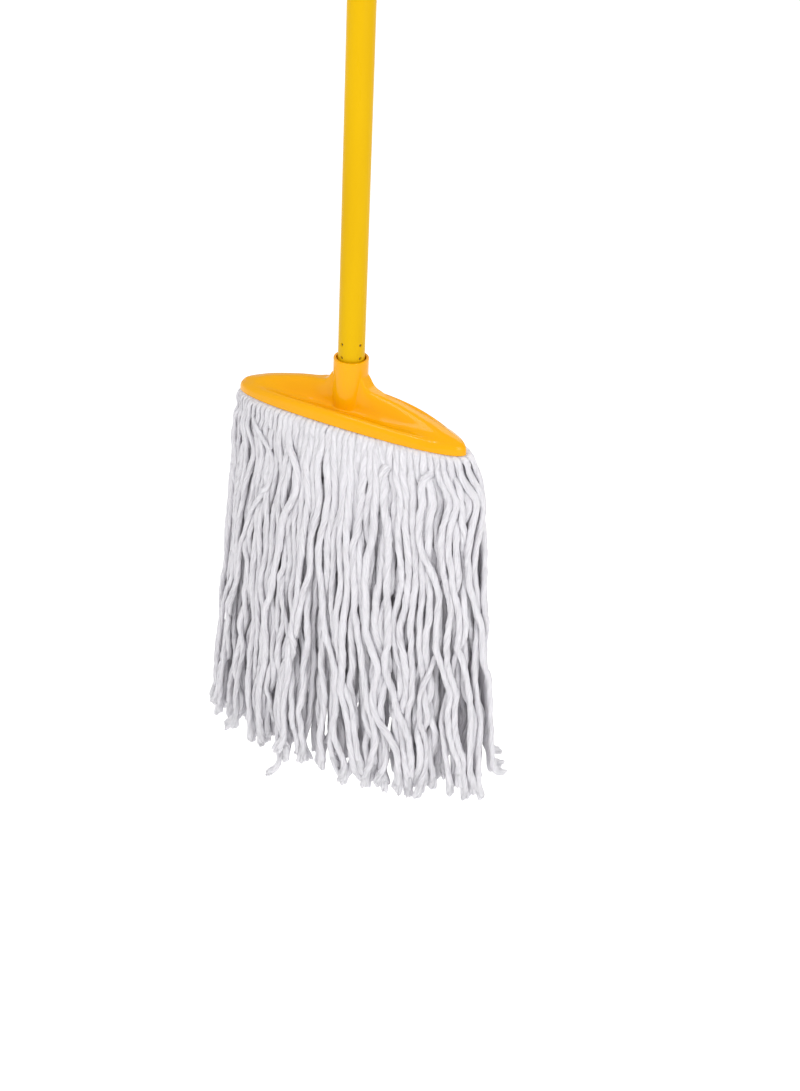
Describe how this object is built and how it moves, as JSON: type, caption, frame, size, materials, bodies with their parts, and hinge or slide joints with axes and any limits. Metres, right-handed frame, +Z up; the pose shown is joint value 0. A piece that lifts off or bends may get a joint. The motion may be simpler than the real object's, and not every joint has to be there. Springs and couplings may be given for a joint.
{
  "type": "string mop",
  "caption": "String mop: a steel tube handle with a hanging cap, screwed into a boat-shaped moulded head that clamps a deep skirt of cotton yarn.",
  "frame": {"origin": "point of the hanging hole that a hook bears on, at the top of the handle, on the handle's axis", "axes": "+Z up along the handle, +X along the head, -Y the front of the head"},
  "size_m": [0.336, 0.144, 1.5441],
  "materials": {
    "handle_paint": "gloss",
    "head_plastic": "gloss",
    "cap_plastic": "satin",
    "plug_plastic": "satin",
    "screw_steel": "satin",
    "yarn_cotton": "matte",
    "tape_cotton": "matte"
  },
  "bodies": {
    "handle": {"handle_tube": "handle_paint", "handle_plug": "plug_plastic", "hang_cap": "cap_plastic"},
    "head": {"head_shell": "head_plastic", "clamp_plate": "head_plastic", "clamp_screw_1": "screw_steel", "clamp_screw_2": "screw_steel", "clamp_screw_3": "screw_steel", "clamp_screw_4": "screw_steel", "yarn_mat": "yarn_cotton", "binding_tape": "tape_cotton"},
    "yarn_front": {"yarn_front_1": "yarn_cotton", "yarn_front_2": "yarn_cotton", "yarn_front_3": "yarn_cotton", "yarn_front_4": "yarn_cotton", "yarn_front_5": "yarn_cotton"},
    "yarn_rear": {"yarn_rear_1": "yarn_cotton", "yarn_rear_2": "yarn_cotton", "yarn_rear_3": "yarn_cotton", "yarn_rear_4": "yarn_cotton", "yarn_rear_5": "yarn_cotton"},
    "yarn_left": {"yarn_left_front": "yarn_cotton", "yarn_left_rear": "yarn_cotton"},
    "yarn_right": {"yarn_right_front": "yarn_cotton", "yarn_right_rear": "yarn_cotton"}
  },
  "joints": [
    {"name": "head_off", "type": "slide", "parent": "handle", "child": "head", "axis": [0, 0, -1], "range_m": [0, 0.046]},
    {"name": "yarn_front_swing", "type": "hinge", "parent": "head", "child": "yarn_front", "pos_m": [0, -0.0426, -1.1861], "axis": [-1, 0, 0], "range_deg": [0, 60]},
    {"name": "yarn_rear_swing", "type": "hinge", "parent": "head", "child": "yarn_rear", "pos_m": [0, 0.0426, -1.1861], "axis": [1, 0, 0], "range_deg": [0, 60]},
    {"name": "yarn_left_swing", "type": "hinge", "parent": "head", "child": "yarn_left", "pos_m": [-0.1341, 0, -1.1921], "axis": [0, 1, 0], "range_deg": [0, 55]},
    {"name": "yarn_right_swing", "type": "hinge", "parent": "head", "child": "yarn_right", "pos_m": [0.1341, 0, -1.1921], "axis": [0, -1, 0], "range_deg": [0, 55]}
  ]
}
